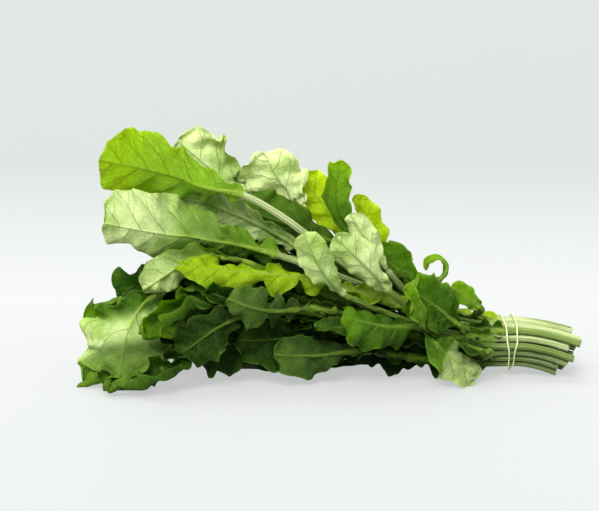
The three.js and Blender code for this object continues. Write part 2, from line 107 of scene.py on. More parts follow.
def shaderTree(name):
    material = bpy.data.materials.new(name)
    material.use_nodes = True
    material.node_tree.nodes.clear()
    return material, material.node_tree


def addNode(tree, kind, inputs=(), **settings):
    made = tree.nodes.new("ShaderNode" + kind)
    for name, value in settings.items():
        setattr(made, name, value)
    for key, value in dict(inputs).items():
        if isinstance(value, bpy.types.NodeSocket):
            tree.links.new(value, made.inputs[key])
        else:
            made.inputs[key].default_value = value
    return made


def treeOf(*values):
    return next(value.id_data for value in values if isinstance(value, bpy.types.NodeSocket))


def mathOf(operation, a, b=0.0, c=0.0, clamp=False):
    inputs = {0: a, 1: b, 2: c}
    return addNode(treeOf(a, b, c), "Math", inputs, operation=operation, use_clamp=clamp).outputs[0]


def times(a, b):
    return mathOf("MULTIPLY", a, b)


def larger(a, b):
    return mathOf("MAXIMUM", a, b)


def remap(value, low, high, toLow=0.0, toHigh=1.0, smooth=True):
    made = addNode(value.id_data, "MapRange",
                   {"Value": value, "From Min": low, "From Max": high, "To Min": toLow, "To Max": toHigh},
                   interpolation_type="SMOOTHSTEP" if smooth else "LINEAR")
    return made.outputs["Result"]


def mix(share, a, b, kind="MIX"):
    a, b = (colour if isinstance(colour, bpy.types.NodeSocket) else (*colour, 1) for colour in (a, b))
    inputs = {0: share, 6: a, 7: b}
    return addNode(treeOf(share, a, b), "Mix", inputs, data_type="RGBA", blend_type=kind).outputs[2]


def valueOf(tree, name):
    return addNode(tree, "Attribute", attribute_name=name).outputs["Fac"]


def uvOf(tree, name):
    return addNode(tree, "UVMap", uv_map=name).outputs["UV"]


def objectPlace(tree):
    return addNode(tree, "TexCoord").outputs["Object"]


def ramp(value, stops):
    made = addNode(value.id_data, "ValToRGB", {"Fac": value})
    band = made.color_ramp
    while len(band.elements) < len(stops):
        band.elements.new(0.5)
    for element, (place, colour) in zip(band.elements, stops):
        element.position = place
        element.color = (*colour, 1)
    return made.outputs["Color"]


def noiseOf(vector, scale, detail=3.0, roughness=0.5):
    inputs = {"Vector": vector, "Scale": scale, "Detail": detail, "Roughness": roughness}
    return addNode(vector.id_data, "TexNoise", inputs).outputs["Fac"]


def bumpOf(height, strength, distance):
    inputs = {"Height": height, "Strength": strength, "Distance": distance}
    return addNode(height.id_data, "Bump", inputs).outputs["Normal"]


def finishWith(surface):
    addNode(surface.id_data, "OutputMaterial", {"Surface": surface.outputs[0]})


# The finish of the leaves: satin above, paler and matt below, with veins, light that comes through, and
# painted shade, glow and sheen
leafLook = {  # each ramp goes from the darkest leaves to the yellowest
    "upper": [(0, (0.004, 0.022, 0.001)), (0.35, (0.025, 0.100, 0.002)),
              (0.65, (0.130, 0.310, 0.006)), (1, (0.280, 0.490, 0.003))],
    "under": [(0, (0.008, 0.032, 0.002)), (0.35, (0.045, 0.135, 0.007)),
              (0.65, (0.250, 0.460, 0.030)), (1, (0.290, 0.500, 0.003))],
    "through": [(0, (0.060, 0.230, 0.003)), (0.35, (0.240, 0.540, 0.008)),
                (0.65, (0.560, 0.830, 0.015)), (1, (0.850, 0.970, 0.008))],
    # pale bloom of the undersides, partly painted sheen of light glancing off them
    "chalk": (0.800, 0.920, 0.420),
    "lime": (0.640, 0.800, 0.010),  # painted glow of the light that comes through the top leaves
    "speckle": (0.020, 0.050, 0.010),
    "rib": (0.450, 0.640, 0.085),
    # painted shade in the grooves of ribs and veins
    "groove": (0.070, 0.170, 0.015),
    "buried": (0.070, 0.165, 0.020),  # painted shade: what places deep in the bunch and where leaves touch keep of the colour
    "petiole": (0.115, 0.195, 0.018),
    "petiolePale": (0.640, 0.680, 0.360),
    "scar": (0.150, 0.130, 0.035),  # dry brownish lines on the stems
    "throughChalk": (0.900, 0.980, 0.500),
    "throughVein": (0.100, 0.260, 0.010),
    "throughRib": (0.220, 0.340, 0.060),
    "throughStem": (0.200, 0.300, 0.060),
    "throughShare": 0.50,
    "throughChalky": 0.30,
    "veinWidth": 0.060,  # of the room between two side veins
    "branches": [(0.30, 0.95), (0.55, 1.25), (0.45, -0.90)],  # where each begins, and its slant
    "netScale": 260.0,
    "fineNetScale": 900.0,
    "patchScale": 42.0,
    "bloomScale": 30.0,
    "speckleScale": 900.0,
    "grainScale": 380.0,
    "stemLineScale": (9.0, 1300.0, 1.0),
    "scarScale": 110.0,
    "roughness": (0.36, 0.56),  # above and below
    "gloss": 0.08,
    "bumpHeight": 0.0006,
}


# Veins as lines where the phase is a whole number
def veinLines(phase, width):
    away = mathOf("PINGPONG", phase, 0.5)
    return mathOf("SUBTRACT", 1.0, mathOf("DIVIDE", away, width), clamp=True)


# Side veins with branches, thinner towards the margin, and two nets of small veins between them
def bladeVeins(tree, sheetMap, blade):
    look = leafLook
    veinMap = addNode(tree, "SeparateXYZ", {0: uvOf(tree, "veins")})
    share = mathOf("ABSOLUTE", veinMap.outputs["Y"])
    wander = mathOf("SUBTRACT", noiseOf(sheetMap, 75.0, 2.0, 0.5), 0.5)
    phase = mathOf("MULTIPLY_ADD", wander, 0.55, veinMap.outputs["X"])
    width = remap(share, 0.0, 0.95, look["veinWidth"], look["veinWidth"] * 0.25, smooth=False)
    branchWidth = times(width, 0.7)
    sideVeins = veinLines(phase, width)
    for begins, slant in look["branches"]:
        out = mathOf("SUBTRACT", share, begins)
        lines = veinLines(mathOf("MULTIPLY_ADD", out, slant, phase), branchWidth)
        branch = times(lines, remap(share, begins, begins + 0.06, 0.0, 0.75))
        sideVeins = larger(sideVeins, branch)
    sideVeins = times(sideVeins, blade)

    shift = addNode(tree, "TexNoise",
                    {"Vector": sheetMap, "Scale": 140.0, "Detail": 2.0}).outputs["Color"]
    moved = addNode(tree, "VectorMath", {0: shift, "Scale": 0.005}, operation="SCALE").outputs[0]
    bent = addNode(tree, "VectorMath", {0: sheetMap, 1: moved}, operation="ADD").outputs[0]
    nets = []
    for scale, reach in ((look["netScale"], 0.14), (look["fineNetScale"], 0.2)):
        net = addNode(tree, "TexVoronoi", {"Vector": bent, "Scale": scale},
                      feature="DISTANCE_TO_EDGE").outputs["Distance"]
        nets.append(times(remap(net, 0.0, reach, 1.0, 0.0), blade))
    return larger(sideVeins, times(nets[0], 0.32)), nets[1]


# The colour of the stems' skin, some paler than others, with dry marks, and the long pale lines on it
# How pale the stems are along the bunch is painted light and shade
def stemSkin(tree, sheetMap, place):
    look = leafLook
    sheet = addNode(tree, "SeparateXYZ", {0: sheetMap})
    whose = addNode(tree, "TexWhiteNoise", {"W": mathOf("FLOOR", sheet.outputs["X"])},
                    noise_dimensions="1D").outputs["Value"]
    lines = addNode(tree, "Mapping", {"Vector": sheetMap, "Scale": look["stemLineScale"]},
                    vector_type="POINT").outputs["Vector"]
    streaks = remap(noiseOf(lines, 1.0, 3.0, 0.6), 0.3, 0.7)
    age = times(noiseOf(place, look["bloomScale"], 2.0, 0.5), mathOf("ADD", whose, 0.5))
    pale = times(mathOf("ADD", times(streaks, 0.75), 0.25),
                   remap(age, 0.22, 0.62, 0.20, 1.0))
    pale = times(pale, valueOf(tree, "paleStem"))
    colour = mix(pale, look["petiole"], look["petiolePale"])
    scars = remap(noiseOf(lines, 0.9, 4.0, 0.7), 0.60, 0.74)
    worn = remap(noiseOf(place, look["scarScale"], 3.0, 0.6), 0.45, 0.62, 0.0, 0.75)
    return mix(times(scars, worn), colour, look["scar"]), streaks


def leafMaterial():
    look = leafLook
    material, tree = shaderTree("arugulaLeaf")
    sheetMap = uvOf(tree, "sheet")
    place = objectPlace(tree)
    blade, under, shade, chalk, buried, ribHere = (
        valueOf(tree, name) for name in ("blade", "under", "shade", "chalk", "buried", "rib"))
    rib = larger(ribHere, 0.0)
    groove = larger(times(ribHere, -1.0), 0.0)
    veins, fineLines = bladeVeins(tree, sheetMap, blade)
    stemColour, streaks = stemSkin(tree, sheetMap, place)

    # Colour of the two faces, patchy as on a grown leaf, with chalky bloom that is partly painted sheen, and
    # specks
    patches = noiseOf(place, look["patchScale"], 4.0, 0.6)
    bloom = noiseOf(place, look["bloomScale"], 3.0, 0.55)
    speckle = noiseOf(place, look["speckleScale"], 2.0, 0.6)
    uneven = times(mathOf("SUBTRACT", patches, 0.5), 0.6)
    grown = mathOf("ADD", shade, uneven, clamp=True)
    chalky = times(chalk, remap(bloom, 0.36, 0.56, 0.35, 1.0))
    chalky = times(chalky, remap(under, 0, 1, 0.55, 1.0))
    colour = mix(under, ramp(grown, look["upper"]), ramp(grown, look["under"]))
    colour = mix(chalky, colour, look["chalk"])
    # painted glow: lime yellow where light comes through the top leaves
    lime = times(valueOf(tree, "lime"), remap(bloom, 0.38, 0.56, 0.45, 1.0))
    colour = mix(lime, colour, look["lime"])
    colour = mix(times(speckle, 0.20), colour, look["speckle"])

    # Veins are paler than a green blade and darker, as painted shade, on a chalky or a light one
    darkVeined = larger(remap(chalk, 0.1, 0.9), remap(shade, 0.72, 0.84))
    veinShare = times(veins, remap(darkVeined, 0.0, 1.0, 0.50, 0.05))
    veinShare = times(veinShare, remap(shade, 0.05, 0.5, 0.40, 1.0))
    colour = mix(veinShare, colour, look["rib"])
    veinShadeShare = times(veins, remap(darkVeined, 0.0, 1.0, 0.0, 0.32))
    colour = mix(larger(veinShadeShare, groove), colour, look["groove"])
    # painted rim light: margins paler, as where light shines through them
    colour = mix(times(valueOf(tree, "edge"), 0.30), colour, look["rib"])
    colour = mix(times(rib, 0.85), colour, look["rib"])
    base = mix(blade, stemColour, colour)
    # painted shade deep in the bunch and where leaves touch
    base = mix(buried, base, look["buried"], "MULTIPLY")

    # Bumps: side veins stand out below and sink in above
    height = times(veins, remap(under, 0, 1, -0.9, 0.9, smooth=False))
    height = mathOf("MULTIPLY_ADD", fineLines, -0.20, height)
    height = mathOf("MULTIPLY_ADD", noiseOf(place, look["grainScale"], 3.0, 0.55), 0.60, height)
    heights = addNode(tree, "Mix", {0: blade, 2: times(streaks, 0.65), 3: height},
                      data_type="FLOAT").outputs[0]
    normal = bumpOf(heights, 0.9, look["bumpHeight"])
    roughness = mathOf("MULTIPLY_ADD", patches, 0.10, remap(under, 0, 1, *look["roughness"]))
    surface = addNode(tree, "BsdfPrincipled", {
        "Base Color": base, "Roughness": roughness, "Normal": normal, "Specular IOR Level": look["gloss"]})

    # Light that comes through, less of it where the blade is chalky, along its veins and in its stem
    darkVeins = times(mathOf("MULTIPLY_ADD", fineLines, 0.12, veins), 0.62)
    through = mix(chalky, ramp(grown, look["through"]), look["throughChalk"])
    through = mix(darkVeins, through, look["throughVein"])
    through = mix(larger(rib, groove), through, look["throughRib"])
    through = mix(blade, look["throughStem"], through)
    # the light that comes through is darkened by the same painted shade
    through = mix(buried, through, look["buried"], "MULTIPLY")
    glow = addNode(tree, "BsdfTranslucent", {"Color": through, "Normal": normal})
    glowShare = times(remap(chalk, 0.1, 0.8, look["throughShare"], look["throughChalky"]),
                        remap(blade, 0, 1, 0.2, 1.0))
    both = addNode(tree, "MixShader", {0: glowShare, 1: surface.outputs[0], 2: glow.outputs[0]})
    finishWith(both)
    return material


# The cut ends: wet pale pith with darker rings and a few tired ones
cutLook = {
    "pith": (0.56, 0.63, 0.36),
    "ring": (0.22, 0.34, 0.09),
    "tired": (0.20, 0.17, 0.07),
    "grainScale": 1400.0,
    "wearScale": 120.0,
    "roughness": 0.38,
    "bumpHeight": 0.0004,
}


def cutMaterial():
    look = cutLook
    material, tree = shaderTree("cutStem")
    place = objectPlace(tree)
    grain = noiseOf(place, look["grainScale"], 4.0, 0.65)
    wear = noiseOf(place, look["wearScale"], 3.0, 0.6)
    ringed = remap(mathOf("ADD", valueOf(tree, "rim"), times(grain, 0.3)), 0.7, 1.1)
    colour = mix(ringed, look["pith"], look["ring"])
    colour = mix(times(remap(wear, 0.52, 0.66), 0.6), colour, look["tired"])
    finishWith(addNode(tree, "BsdfPrincipled", {
        "Base Color": colour, "Roughness": look["roughness"],
        "Normal": bumpOf(grain, 0.8, look["bumpHeight"])}))
    return material


# The leaves, each grown over its solid in the frame with a finer outline, side veins, puckers and a frilled
# margin. Their numbers are those of the frame's nodes.
leafShades = {  # which leaves are how green, and how chalky, the chalk partly painted sheen
    "deep": {"leaves": [2, 11, 12, 13, 16, 24, 28, 38, 41, 43, 45], "shade": 0.18, "chalk": 0.03},
    "dull": {"leaves": [8, 9, 10], "shade": 0.31, "chalk": 0.11},
    "middling": {"leaves": [14], "shade": 0.42, "chalk": 0.02},
    "fresh": {"leaves": [4, 5, 15, 19, 21, 22, 27, 33, 39, 42, 44], "shade": 0.54, "chalk": 0.02},
    "bright": {"leaves": [1, 3, 30, 31, 32], "shade": 0.74, "chalk": 0.05},
    "pale": {"leaves": [6, 7, 18, 20, 23, 26, 29, 34, 35], "shade": 0.74, "chalk": 1.0},
    # the lit and yellow leaves are brighter as painted light coming through them from behind
    "lit": {"leaves": [17, 25, 40], "shade": 0.92, "chalk": 0.02},
    "yellow": {"leaves": [36, 37], "shade": 1.00, "chalk": 0.02},
}
leafColours = {
    "unevenShade": 0.10,  # from leaf to leaf
    "towardsTip": 0.36,  # how much lighter a blade is at its tip
    # 34 and 35 are made paler as painted light, where the light falls brightest; 18 and 7 are less chalky
    "paler": {34: 1.7, 35: 1.4, 18: 0.7, 7: 0.75},
    "chalkTips": {1: 0.42},  # leaves that show their chalky side from there on
    "greenTips": {20: (0.50, 0.72, 0.38)},  # from, to, and how much darker
    "greenBases": {23: (0.25, 0.85, 0), 18: (0.25, 0.85, 0), 20: (0.26, 0.48, 0.34)},
    "slantedPale": {20: -0.20},  # how far the borders of the pale part slant across the blade
    "greenHalves": {23: -1, 25: -1},  # which half is painted in shade, greener and darker and without chalky sheen
    # how much painted glow each leaf gets
    "limy": {36: 0.6, 37: 0.9, 17: 0.35},
    # leaves whose stems stay pale, as painted light, out towards their blades
    "paleStems": [23, 25, 26],
    "grooved": {6: 0.1, 7: 0.1, 25: 0.35, 29: 0.1, 32: 0.1, 34: 0.1, 35: 0.1, 36: 0.5},  # ribs painted dark as shade in a groove, from where along the blade
}
leafForm = {  # lengths are in millimetres
    "stemRadius": 2.15,
    "sheetThickness": 0.44,
    "rowStep": 1.0,
    "stemStep": 4.5,
    "cellStep": 1.15,
    "ribCells": 4,  # of the cells on each side
    "ribReach": 1.55,  # how far the rounded rib spreads, in its radii
    "ribOnBlade": 0.62,  # of the rib's size on the stem
    "finerRibs": {"leaves": [4, 6, 7, 14, 15, 17, 20, 22, 23, 25, 27, 29, 32, 34, 35, 36, 37], "share": 0.45},
    "roundTip": 0.24,  # of the blade's length, over which the tip is rounded
    "smoothEdges": 0.75,  # how much the outline's lobes are rounded off
    "smoothOver": 9,  # rows to each side
    "deepLobes": {"leaves": [10, 12, 13, 17, 45], "share": 0.2},
    "unnotched": {"leaves": [4, 5, 39, 40, 41, 42, 43, 44, 45], "share": 0.86},  # rounder outlines
    "uneven": {34: (1.1, 0.7), 36: (1.0, 0.6)},  # how wide each side is, for its outline
    "fuller": {1: 0.85, 3: 1.3, 4: 1.1, 14: 1.15, 15: 1.1, 16: 1.2, 18: 1.12, 19: 1.2, 21: 1.46, 24: 1.2,
               28: 1.25, 30: 1.42, 31: 0.65, 33: 0.95, 36: 1.22, 39: 1.05, 40: 1.3, 41: 1.25, 42: 1.45,
               43: 1.15, 44: 1.55, 45: 1.40},
    "fullestBehind": 1.03,  # on the side away from the camera, to stay near the solids
    "scallop": 1.15,  # how far the margin's scallops reach out
    "scallopLength": 13.0,
    "veinSpacing": 14.5,
    "veinSweep": 0.70,
    "pucker": 0.9,
    "crumple": 1.4,
    "crumpleWaves": 7,
    "frill": 1.8,
    "frillLength": 13.0,
    "roll": 1.5,  # of the margins, in long waves
    "curly": {"leaves": [5, 14, 15, 17, 19, 20, 21, 22, 24], "share": 1.8},
    "calm": {38: 0.15},
    "edgeCurl": {1: 4, 4: 3, 5: -3, 14: 4, 15: 6, 20: -3, 21: 2, 22: 2, 23: -2, 27: 3, 32: 3, 34: -3, 35: -2},
    "bareStems": [1, 6, 7, 16, 20, 23, 25, 26, 29, 32],  # the others have small lobes
    "longLobes": {"leaves": [9, 13, 21, 38, 45], "share": 1.6},
    "lastFront": 24,  # leaves up to this number are in front
}
stemLobes = {"fromCut": 48, "along": 80, "pitch": 7.0, "reach": 8.5, "step": 1.2, "fold": 0.45}
rolledMargins = {  # margins that curl over in places, in radians a millimetre
    "leaves": {4: 0.16, 5: 0.16, 11: 0.25, 13: 0.2, 14: 0.42, 15: 0.44, 19: 0.40, 20: 0.28, 21: 0.40,
               22: 0.42, 24: 0.40},
    "others": 0.11,
    "from": 0.55,  # of the way out
    "wave": 15.0,
    "outwards": 0.75,  # how many curl towards the bunch's outside
    "furthest": 3.4,  # in radians
}
leafMaterialMade = leafMaterial()
cutMaterialMade = cutMaterial()


# The share that is set for some leaves, and for the others
def shareOf(number, key, others=1):
    return leafForm[key]["share"] if number in leafForm[key]["leaves"] else others


# A walk round a ring of ten vertices from one of them, one way or the other. It may stop short.
def walkRound(joined, ring, start, way):
    turn = [start]
    while len(turn) < 10:
        onward = [v for v in joined[turn[-1]] if v in ring and v not in turn]
        if not onward:
            break
        turn.append(onward[0] if way == 1 or len(onward) == 1 else onward[-1])
    return turn


# Where the diagonals between two rings lean forward: one way above and the other way below
def leaning(joined, first, second):
    return [second[(k + 1) % 10] in joined[first[k]] for k in range(10)]


# The rings of a leaf's solid from the cut end to the tip: five points on the upper face, then five below
def readRings(node):
    mesh = bmesh.new()
    mesh.from_mesh(node.data)
    bmesh.ops.remove_doubles(mesh, verts=mesh.verts, dist=1e-6)
    middles = [v for v in mesh.verts if len(v.link_edges) == 10]
    joined = {v: {e.other_vert(v) for e in v.link_edges} for v in mesh.verts}
    cutMiddle = max(middles, key=lambda v: v.co.x)
    ring = [e.other_vert(cutMiddle) for e in cutMiddle.link_edges]
    seen = set(middles)
    rings = []
    while ring:
        seen.update(ring)
        rings.append(ring)
        ring = list(dict.fromkeys(other for v in ring for other in joined[v] if other not in seen))
    ordered = [walkRound(joined, rings[0], rings[0][0], 1)]
    for ring in rings[1:]:
        turns = (walkRound(joined, ring, start, way) for start in ring for way in (1, -1))
        ordered.append(next(turn for turn in turns
                            if len(turn) == 10 and all(b in joined[a] for a, b in zip(ordered[-1], turn))))
    if sum(leaning(joined, ordered[0], ordered[1])) == 4:
        ordered = [turn[::-1] for turn in ordered]
    forward = leaning(joined, ordered[0], ordered[1])
    fifth = next(k for k in range(10) if forward[k - 1] and not forward[k])
    points = np.array([[turn[(k + fifth - 5) % 10].co for k in range(10)] for turn in ordered]) / mm
    mesh.free()
    return points


# The middle surface in five columns, where its upper face looks, the rib's radius, the half width, and the
# row where the blade begins
def readSheet(rings):
    upper = rings[:, 0:5]
    under = rings[:, [9, 8, 7, 6, 5]]
    thick = norm(upper - under, axis=2)
    halfWide = norm(upper[:, 4] - upper[:, 0], axis=1) / 2
    onStem = thick[:, 2] > 2 * leafForm["stemRadius"] * 0.97
    ribThick, ribAbove = 1.75, 0.6  # of the solid's rib, in its radii
    share = np.where((thick > 0.8) & ~onStem[:, None], ribAbove / ribThick, 0.5)[..., None]
    middle = upper * (1 - share) + under * share
    ribs = np.where(onStem, thick[:, 2] / 2, thick[:, 2] / ribThick)
    return middle, unit(upper - under), ribs, halfWide, int(np.argmin(onStem))


# Places along the leaf from the cut end, closer together on the blade and closest at the tip
def placesAlong(plan):
    form, start = leafForm, plan.start
    bareEnd = plan.lobesFrom if plan.lobed else start
    onStem = np.linspace(0, bareEnd, max(8, int(bareEnd / form["stemStep"])), endpoint=False)
    if plan.lobed:
        rows = int((start - bareEnd) / stemLobes["step"])
        onStem = np.append(onStem, np.linspace(bareEnd, start, rows, endpoint=False))
    onBlade = np.linspace(0, 1, max(24, int(plan.bladeLength / form["rowStep"])) + 1)
    tip = 0.05  # of the blade
    atTip = 1 - tip + tip * np.sin(np.linspace(0, math.pi / 2, 9))
    onBlade = np.append(onBlade[onBlade < 1 - tip], atTip)
    return np.append(onStem, start + onBlade * plan.bladeLength), len(onStem)


# The half width along the leaf: lobes a little rounded off, some blades filled out, and a round tip
def outlineOf(plan, stemCount):
    form, b = leafForm, plan.b
    least = 0.35
    onBlade = slice(stemCount, None)
    bladeHalves = plan.halves[onBlade]
    window = np.hanning(2 * form["smoothOver"] + 1)
    padded = np.pad(bladeHalves, form["smoothOver"], mode="edge")
    rounded = np.convolve(padded, window / window.sum(), mode="valid")
    inner = ease(0.04, 0.16, b[onBlade]) * (1 - ease(0.84, 0.94, b[onBlade]))
    outline = plan.halves.copy()
    smoothing = form["smoothEdges"] * shareOf(plan.number, "deepLobes")
    outline[onBlade] += smoothing * inner * (rounded - bladeHalves)
    if plan.number in form["unnotched"]["leaves"]:
        envelope = plan.widest * form["unnotched"]["share"] * np.sin(math.pi * b ** 0.8) ** 0.55
        outline = np.maximum(outline, envelope * ease(0.02, 0.25, b))
    tip = form["roundTip"]
    circle = np.sqrt(np.clip(1 - ((b - (1 - tip)) / tip) ** 2, 0, 1))
    roundHalf = np.interp(1 - tip, b[onBlade], outline[onBlade]) * circle
    fullHalf = np.where(b > 1 - tip, np.maximum(roundHalf, least), outline)
    return np.maximum(outline + ease(1 - tip, 1 - tip * 0.6, b) * (fullHalf - outline), least)


# The rib's radius: finer on the blade than on the stem, and never wider than the blade
def ribsOf(plan, ribs):
    share = shareOf(plan.number, "finerRibs", leafForm["ribOnBlade"])
    ribs = ribs * (1 + (share - 1) * ease(0.0, 0.22, plan.b))
    return np.where(plan.b > 0, np.minimum(ribs, np.maximum(plan.half * 0.8, 0.3)), ribs)


# The half width of each side, with small lobes on the stem that differ from side to side
def lobedSides(plan):
    uneven = np.array(leafForm["uneven"].get(plan.number, (1, 1))) - 1
    sides = np.stack([plan.half, plan.half], axis=1)
    sides *= 1 + uneven * ease(0.2, 0.7, plan.b)[:, None]
    if not plan.lobed:
        return sides
    random = np.random.default_rng(4100 + plan.number)
    longer = shareOf(plan.number, "longLobes")
    begins, pitch = plan.lobesFrom, stemLobes["pitch"]
    for k in (0, 1):
        at = begins + pitch * 0.4
        while at < plan.start - 1:
            growing = 0.6 + 0.4 * (at - begins) / stemLobes["along"]
            height = stemLobes["reach"] * random.uniform(0.25, 1.0) * growing * longer
            lobe = np.exp(-np.abs((plan.s - at) / random.uniform(2.8, 5.0)) ** 2.6) * height
            sides[:, k] += lobe * (random.random() < 0.8) * ease(0.10, 0.0, plan.b)
            at += pitch * random.uniform(0.8, 1.5)
    return sides


# What is known of a leaf along its length: places s from the cut end, the share b of the blade, the middle
# surface in five columns, and the half widths of its sides
def planLeaf(node, number):
    plan = SimpleNamespace(number=number, random=np.random.default_rng(700 + number))
    middle, faceWay, ribs, halfWide, firstRow = readSheet(readRings(node))
    steps = norm(np.diff(middle[:, 2], axis=0), axis=1)
    length = np.append(0, np.cumsum(steps))
    plan.start = length[firstRow]
    plan.bladeLength = length[-1] - plan.start
    plan.widest = halfWide[firstRow:].max()
    plan.size = min(1.0, plan.widest / 18)  # of its frills and scallops
    plan.lobesFrom = max(stemLobes["fromCut"], plan.start - stemLobes["along"])
    roomForLobes = plan.start - plan.lobesFrom > 2 * stemLobes["pitch"]
    plan.lobed = number not in leafForm["bareStems"] and roomForLobes
    s, stemCount = placesAlong(plan)
    plan.s, plan.b = s, np.clip((s - plan.start) / plan.bladeLength, 0, 1)
    plan.columns = curveThrough(middle, length, s)
    plan.faceWay = unit(curveThrough(faceWay[:, 2], length, s))
    plan.facesOut = (plan.faceWay * (0, -1 if number <= leafForm["lastFront"] else 1, 0.5)).sum(-1)
    plan.halves = np.maximum(curveThrough(halfWide, length, s), 0.3)
    plan.half = outlineOf(plan, stemCount)
    plan.ribs = ribsOf(plan, curveThrough(ribs, length, s))
    plan.sides = lobedSides(plan)
    plan.wings = ease(0.3, 2.0, plan.sides.max(1) - plan.half) * (plan.b < 0.1)
    return plan


# A wave along each margin, spread over the columns of its side
def onSides(plan, wave):
    return np.stack([wave(k, margin) for k, margin in enumerate(plan.margins)])[plan.onSide].T


# The grid across the leaf: a few cells for the rib, the others out to the scalloped margins. The way out is d
# in millimetres and w as a share.
def layCells(plan):
    form, s, b, random = leafForm, plan.s, plan.b, plan.random
    plan.margins = [{"phase": random.random(2) * wholeTurn,
                     "scallop": form["scallopLength"] * (0.85 + 0.4 * random.random()),
                     "frill": form["frillLength"] + 7 * random.random()} for _ in range(2)]
    cells = plan.cells = max(8, int(round(plan.widest / form["cellStep"])))
    j = plan.j = np.arange(-cells, cells + 1)
    plan.onSide = (j > 0).astype(int)
    halfHere = plan.sides[:, plan.onSide]
    ribEdge = np.minimum((plan.ribs * form["ribReach"])[:, None], halfHere * 0.7)
    out, ribCells = np.abs(j)[None, :], form["ribCells"]
    beyondRib = ribEdge + (out - ribCells) / (cells - ribCells) * (halfHere - ribEdge)
    d = np.sign(j)[None, :] * np.where(out <= ribCells, out / ribCells * ribEdge, beyondRib)
    plan.w = d / halfHere
    along = onSides(plan, lambda k, margin: s / margin["scallop"] * math.pi + margin["phase"][0])
    wobble = onSides(plan, lambda k, margin: np.sin(s / 23 + margin["phase"][1]))
    reach = (np.abs(np.sin(along + 0.6 * wobble)) ** 0.75 - 0.55) * form["scallop"] * plan.size
    reach = reach + 0.22 * plan.size * np.sin(along * 3.7 + wobble)
    reach = reach * ease(0.02, 0.14, b)[:, None] * (1 - 0.6 * ease(0.9, 1.0, b)[:, None])
    plan.d = d * (1 + reach / np.maximum(halfHere, 3) * np.abs(plan.w) ** 3)


# Where each spot stands between the side veins
def veinPhase(plan):
    out = np.abs(plan.d)
    s = plan.s[:, None]
    spacing = leafForm["veinSpacing"] * (0.55 + 0.45 * plan.size)
    bend = 1.6 * np.sin(s / 11 + plan.margins[0]["phase"][0]) * out / 15
    return (s - leafForm["veinSweep"] * out - 0.016 * out**2 + bend) / spacing + 0.45 * plan.onSide[None, :]


# How far each spot is lifted: puckers between the side veins, crumples, the frill and the long waves of the
# margins, and the folded lobes of the stem
def liftOf(plan):
    form, number, s, d, out = leafForm, plan.number, plan.s, plan.d, np.abs(plan.w)
    waves = plan.random.random((form["crumpleWaves"], 4))
    crumple = sum(np.sin(s[:, None] * (0.25 + 0.4 * a) + d * (0.5 * b - 0.25) * 1.6 + wholeTurn * begins)
                  * (0.4 + 0.6 * strong) for a, b, begins, strong in waves) / 3.2
    frillPhase = onSides(plan, lambda k, margin: s / margin["frill"] * wholeTurn + margin["phase"][1])
    frill = (np.sin(frillPhase) + 0.4 * np.sin(2.3 * frillPhase + 1)) * ease(0.5, 1.0, out)
    roll = onSides(plan, lambda k, margin: np.sin(s / (7.5 + 2 * k) + margin["phase"][0] * 2))
    roll = roll * ease(0.45, 1.0, out) ** 1.5
    onBlade = ease(0.0, 0.06, plan.b) * ease(1.0, 3.5, plan.half / plan.ribs)
    onBlade = np.maximum(onBlade, 0.8 * plan.wings)[:, None]
    pucker = np.abs(np.sin(math.pi * plan.phase)) ** 0.8 * ease(0.0, 0.2, out) * (1 - 0.4 * out)
    lift = (form["pucker"] * pucker + form["crumple"] * crumple * ease(0.0, 0.35, out)
            + (form["frill"] * frill + form["roll"] * roll) * plan.size * shareOf(number, "curly")) * onBlade
    lift = lift * form["calm"].get(number, 1)
    lift = lift + form["edgeCurl"].get(number, 0) * ease(0.4, 1.05, out) ** 1.5 * onBlade
    fold = stemLobes["fold"] * np.sign(plan.facesOut)[:, None] * np.clip(np.abs(d) - 1.5, 0, None)
    return lift + fold * plan.wings[:, None]


# Margins that curl over like ribbons in places, bent along an arc from some way out
def rollMargins(plan, surface, normal):
    rolled = rolledMargins
    random = np.random.default_rng(6100 + plan.number)
    mostCurl = rolled["leaves"].get(plan.number, rolled["others"])
    towards = np.sign(plan.facesOut.mean()) * (1 if random.random() < rolled["outwards"] else -1)
    ribCells = leafForm["ribCells"]
    firstCell = ribCells + int((plan.cells - ribCells) * rolled["from"])
    for way in (-1, 1):
        curled = plan.cells + way * np.arange(firstCell, plan.cells + 1)
        part = surface[:, curled]
        outWay = unit(part[:, 1] - part[:, 0])[:, None]
        liftWay = normal[:, curled[0]][:, None] * towards
        reached = norm(np.diff(part, axis=1), axis=2).cumsum(1)
        reached = np.concatenate([np.zeros((len(reached), 1)), reached], axis=1)
        waves = np.sin(plan.s / rolled["wave"] + random.uniform(0, wholeTurn))
        curl = mostCurl * ease(-0.4, 0.5, waves) * ease(0.05, 0.25, plan.b)
        curl = np.maximum(curl * (1 - ease(0.90, 0.99, plan.b)), 1e-4)[:, None]
        turned = np.minimum(curl * reached, rolled["furthest"])
        goesOut = (np.sin(turned) / curl - reached)[..., None]
        goesUp = ((1 - np.cos(turned)) / curl)[..., None]
        surface[:, curled] = part + goesOut * outWay + goesUp * liftWay


def shapeBlade(plan):
    form, columns, halves = leafForm, plan.columns, plan.halves[:, None]
    full = form["fuller"].get(plan.number, 1)
    behind = np.sign((columns[:, 4, 1] - columns[:, 0, 1]).mean())  # the side that looks away from the camera
    sideFull = np.where(np.sign(plan.j) == behind, min(full, form["fullestBehind"]), full)
    fuller = 1 + (sideFull - 1)[None, :] * ease(-0.01, 0.10, plan.b)[:, None]
    surface = acrossBlade(columns, plan.d * fuller / halves, halves)
    normal = gridNormals(surface)
    facing = 1 if np.sign((normal[:, plan.cells] * plan.faceWay).sum(-1)).mean() > 0 else -1
    plan.phase = veinPhase(plan)
    surface = surface + facing * normal * liftOf(plan)[..., None]
    rollMargins(plan, surface, facing * gridNormals(surface))
    return surface, facing * gridNormals(surface)


